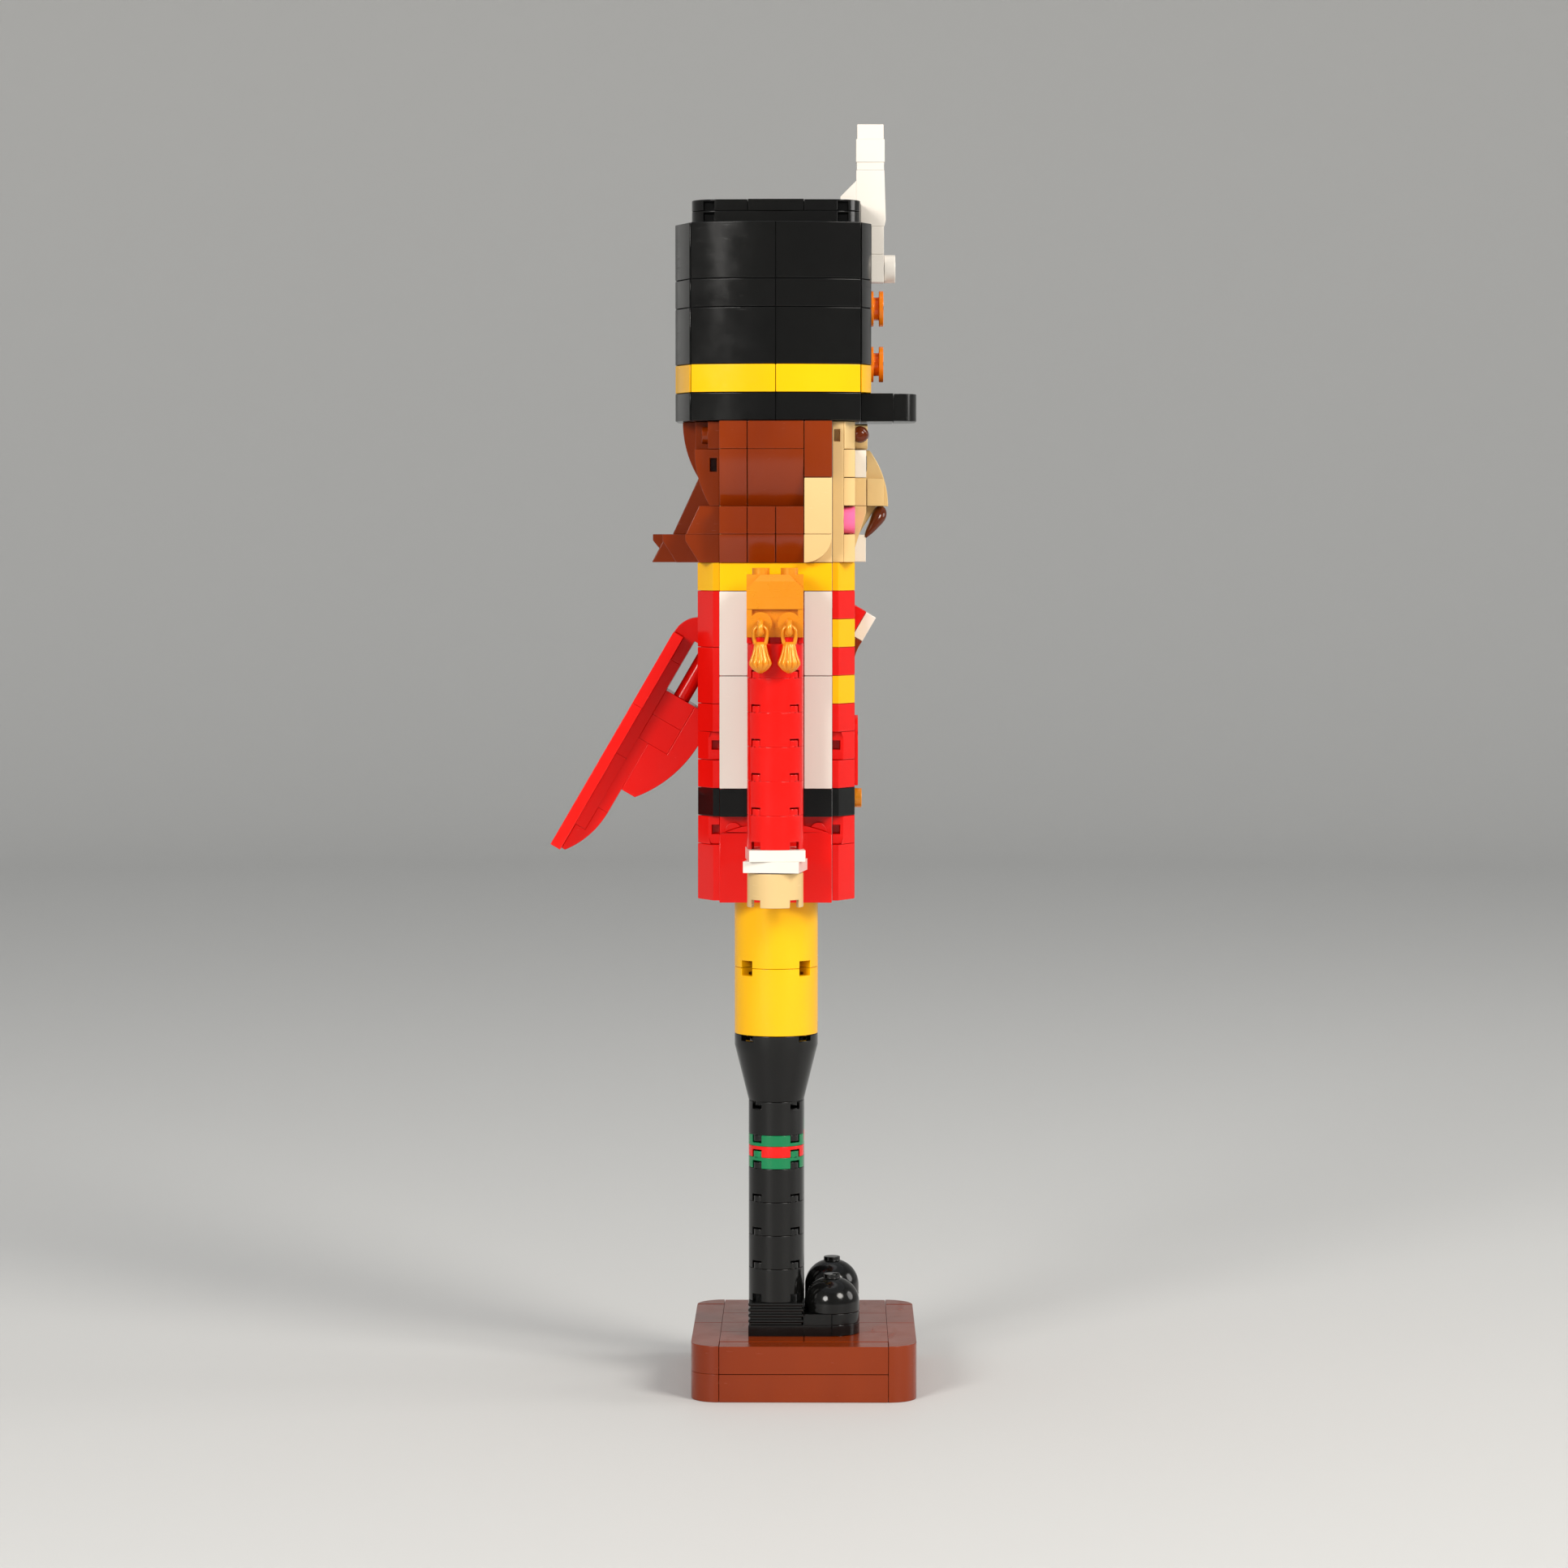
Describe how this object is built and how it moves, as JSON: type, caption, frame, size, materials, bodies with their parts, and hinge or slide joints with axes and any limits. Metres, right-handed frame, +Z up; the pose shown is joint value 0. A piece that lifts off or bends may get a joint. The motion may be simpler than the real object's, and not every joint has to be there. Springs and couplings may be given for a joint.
{
  "type": "nutcracker figure",
  "caption": "Toy nutcracker soldier made of construction bricks on a plinth; a coat-tail lever at the back opens the jaw, and the arms turn.",
  "frame": {"origin": "on the floor, at the middle of the plinth's width, under the line shared by the legs and arms", "axes": "+Z up; the soldier faces -Y; its right hand is on -X"},
  "size_m": [0.1098, 0.1046, 0.3618],
  "materials": {
    "black": "glossy moulded",
    "brown_gloss": "glossy moulded",
    "green": "glossy moulded",
    "orange": "glossy moulded",
    "pearl_gold": "pearl gloss",
    "pink": "glossy moulded",
    "red": "glossy moulded",
    "reddish_brown": "glossy moulded",
    "tan": "glossy moulded",
    "white": "glossy moulded",
    "yellow": "glossy moulded"
  },
  "bodies": {
    "soldier": {"ankle_blocks": "black", "base_core": "reddish_brown", "base_corner_bricks": "reddish_brown", "base_side_bricks": "reddish_brown", "base_top_tiles": "reddish_brown", "belt_blocks": "black", "belt_buckle": "pearl_gold", "boot_bricks": "black", "boot_cones": "black", "boot_rings_green": "green", "boot_rings_red": "red", "brows_and_moustache": "brown_gloss", "cheeks": "pink", "coat_red_blocks": "red", "coat_yellow_blocks": "yellow", "eyes": "white", "face_bricks": "tan", "face_plate": "tan", "face_side_tiles": "tan", "foot_plates": "black", "hair_slopes": "reddish_brown", "hair_tiles": "reddish_brown", "hat_band": "yellow", "hat_black_slopes": "black", "hat_buttons": "orange", "hat_plates": "black", "hat_visor": "black", "head_core": "tan", "main_axle": "red", "nose": "tan", "plume": "white", "side_red_tiles": "red", "side_white_tiles": "white", "skirt_domes": "red", "thigh_cylinders": "yellow", "toe_domes": "black", "torso_bricks": "red", "torso_plates": "reddish_brown", "upper_teeth": "white"},
    "lever": {"lever_hub": "red", "tail_cap": "red", "tail_skin": "red", "tail_layers": "red", "lever_bars": "red", "jaw_arm": "red", "jaw_teeth": "white", "beard": "reddish_brown"},
    "arm_right": {"arm_bricks_right": "red", "epaulette_right": "pearl_gold", "cuffs_right": "white"},
    "hand_right": {"hand_right": "tan"},
    "tassel_front_right": {"tassel_front_right": "pearl_gold"},
    "tassel_rear_right": {"tassel_rear_right": "pearl_gold"},
    "arm_left": {"arm_bricks_left": "red", "epaulette_left": "pearl_gold", "cuffs_left": "white"},
    "hand_left": {"hand_left": "tan"},
    "tassel_front_left": {"tassel_front_left": "pearl_gold"},
    "tassel_rear_left": {"tassel_rear_left": "pearl_gold"}
  },
  "joints": [
    {"name": "lever_tilt", "type": "hinge", "parent": "soldier", "child": "lever", "pos_m": [0, 0, 0.22], "axis": [-1, 0, 0], "range_deg": [0, 30.2]},
    {"name": "arm_swing_right", "type": "hinge", "parent": "soldier", "child": "arm_right", "pos_m": [-0.04, 0, 0.22], "axis": [1, 0, 0], "continuous": true},
    {"name": "hand_turn_right", "type": "hinge", "parent": "arm_right", "child": "hand_right", "pos_m": [-0.04, 0, 0.1452], "axis": [0, 0, 1], "continuous": true},
    {"name": "tassel_front_swing_right", "type": "hinge", "parent": "arm_right", "child": "tassel_front_right", "pos_m": [-0.0515, -0.004, 0.2176], "axis": [1, 0, 0], "range_deg": [-25, 3]},
    {"name": "tassel_rear_swing_right", "type": "hinge", "parent": "arm_right", "child": "tassel_rear_right", "pos_m": [-0.0515, 0.004, 0.2176], "axis": [1, 0, 0], "range_deg": [-3, 25]},
    {"name": "arm_swing_left", "type": "hinge", "parent": "soldier", "child": "arm_left", "pos_m": [0.04, 0, 0.22], "axis": [1, 0, 0], "continuous": true},
    {"name": "hand_turn_left", "type": "hinge", "parent": "arm_left", "child": "hand_left", "pos_m": [0.04, 0, 0.1452], "axis": [0, 0, 1], "continuous": true},
    {"name": "tassel_front_swing_left", "type": "hinge", "parent": "arm_left", "child": "tassel_front_left", "pos_m": [0.0515, -0.004, 0.2176], "axis": [1, 0, 0], "range_deg": [-25, 3]},
    {"name": "tassel_rear_swing_left", "type": "hinge", "parent": "arm_left", "child": "tassel_rear_left", "pos_m": [0.0515, 0.004, 0.2176], "axis": [1, 0, 0], "range_deg": [-3, 25]}
  ]
}
